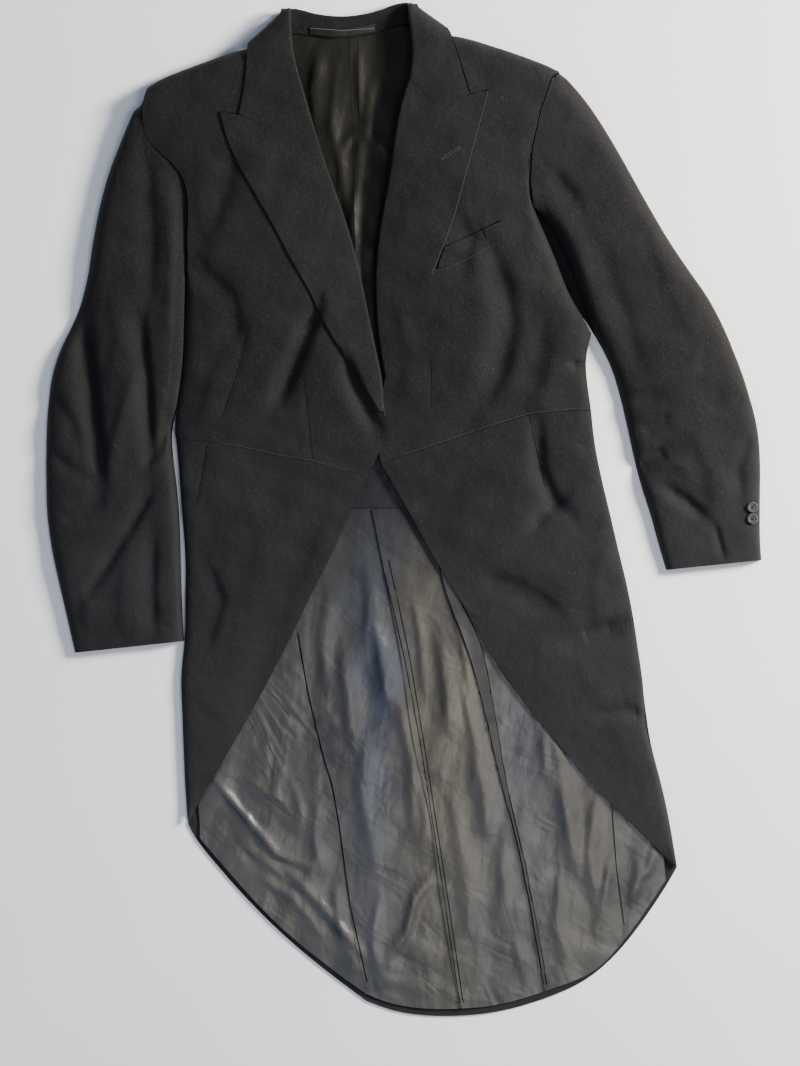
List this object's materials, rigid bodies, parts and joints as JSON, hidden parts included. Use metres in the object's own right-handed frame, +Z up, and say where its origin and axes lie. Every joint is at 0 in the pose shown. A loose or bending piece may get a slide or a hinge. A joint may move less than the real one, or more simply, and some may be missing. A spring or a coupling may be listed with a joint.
{
  "type": "cutaway tailcoat",
  "caption": "Men's cutaway tailcoat laid flat, closed at the waist, with peaked lapels, rounded tails and a satin lining.",
  "frame": {"origin": "middle of the laid-out coat on the surface that it lies on", "axes": "+Y towards the collar, +X towards the wearer's left side, +Z up from the surface"},
  "size_m": [0.796, 1.1279, 0.0299],
  "materials": {
    "wool": "matt twill",
    "tail_lining": "satin lining",
    "neck_lining": "satin lining",
    "button": "satin"
  },
  "bodies": {
    "root": {"back_right": "wool", "back_left": "wool", "side_body_right": "wool", "side_body_left": "wool", "skirt_right_turned": "wool", "skirt_left_turned": "wool", "pleat_edge_left": "wool", "forepart_right": "wool", "forepart_left": "wool", "skirt_right": "wool", "skirt_left": "wool", "lapel_right": "wool", "lapel_left": "wool", "collar_right": "wool", "collar_left": "wool", "collar_stand": "wool", "collar_fall": "wool", "breast_welt": "wool", "top_sleeve_right": "wool", "under_sleeve_right": "wool", "top_sleeve_left": "wool", "under_sleeve_left": "wool", "lining_tail_right": "tail_lining", "lining_tail_left": "tail_lining", "lining_skirt_right": "tail_lining", "lining_skirt_left": "tail_lining", "lining_skirt_left_front": "tail_lining", "vent_tuck": "tail_lining", "lining_back_right": "neck_lining", "lining_back_left": "neck_lining", "hanger_loop": "neck_lining", "cuff_button_upper": "button", "cuff_button_lower": "button"}
  },
  "joints": []
}
